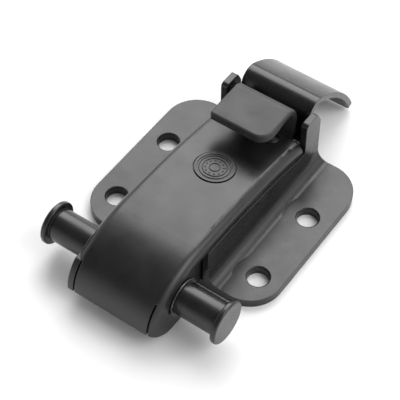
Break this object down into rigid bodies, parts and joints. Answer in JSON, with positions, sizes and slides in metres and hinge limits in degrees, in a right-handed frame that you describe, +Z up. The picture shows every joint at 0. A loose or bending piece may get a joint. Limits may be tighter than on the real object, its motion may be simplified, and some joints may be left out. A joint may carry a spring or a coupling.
{
  "type": "lever latch",
  "caption": "Surface-mounted black steel lever latch: a curved lever turns on a headed cross bolt and a sprung thumb catch at the rear keeps it shut.",
  "frame": {"origin": "on the underside of the base plate, at the centre of the four mounting holes", "axes": "+X along the cross bolt, +Y from the nose towards the thumb catch, +Z up from the mounting face"},
  "size_m": [0.0904, 0.1506, 0.0376],
  "materials": {
    "black_coat": "satin black coat on pressed steel",
    "black_sleeve": "satin black coat on turned steel",
    "dark_steel": "blackened steel, satin",
    "washer_steel": "blackened spring steel",
    "spring_steel": "drawn wire",
    "bush_bronze": "sintered bronze",
    "badge": "satin black with raised rings",
    "rubber": "matt"
  },
  "bodies": {
    "base": {"base_plate": "black_coat", "bearing_cheek_left": "black_coat", "bearing_cheek_right": "black_coat", "cheek_rivet_left_front": "dark_steel", "cheek_rivet_left_rear": "dark_steel", "cheek_rivet_right_front": "dark_steel", "cheek_rivet_right_rear": "dark_steel", "cross_rod": "dark_steel", "rod_spacer": "dark_steel", "end_sleeve_left": "black_sleeve", "end_sleeve_right": "black_sleeve", "sleeve_washer_left": "washer_steel", "sleeve_washer_right": "washer_steel", "catch_pin": "dark_steel", "catch_washer_left": "washer_steel", "catch_washer_right": "washer_steel", "catch_spring": "spring_steel", "buffer_stud": "dark_steel", "rubber_buffer": "rubber"},
    "lever": {"lever_shell": "black_coat", "nose_gusset": "black_coat", "lever_bush_left": "bush_bronze", "lever_bush_right": "bush_bronze", "badge_disc": "badge", "finger_pull": "black_coat", "pull_rivet_left": "dark_steel", "pull_rivet_right": "dark_steel"},
    "catch": {"catch_plate": "black_coat"}
  },
  "joints": [
    {"name": "lever_pivot", "type": "hinge", "parent": "base", "child": "lever", "pos_m": [0, -0.0487, 0.0145], "axis": [1, 0, 0], "range_deg": [0, 105]},
    {"name": "catch_pivot", "type": "hinge", "parent": "base", "child": "catch", "pos_m": [0, 0.042, 0.01], "axis": [-1, 0, 0], "range_deg": [0, 18], "stiffness_Nm_per_rad": 0.6, "springref_deg": -11.46, "deforming": ["catch_spring"]}
  ]
}
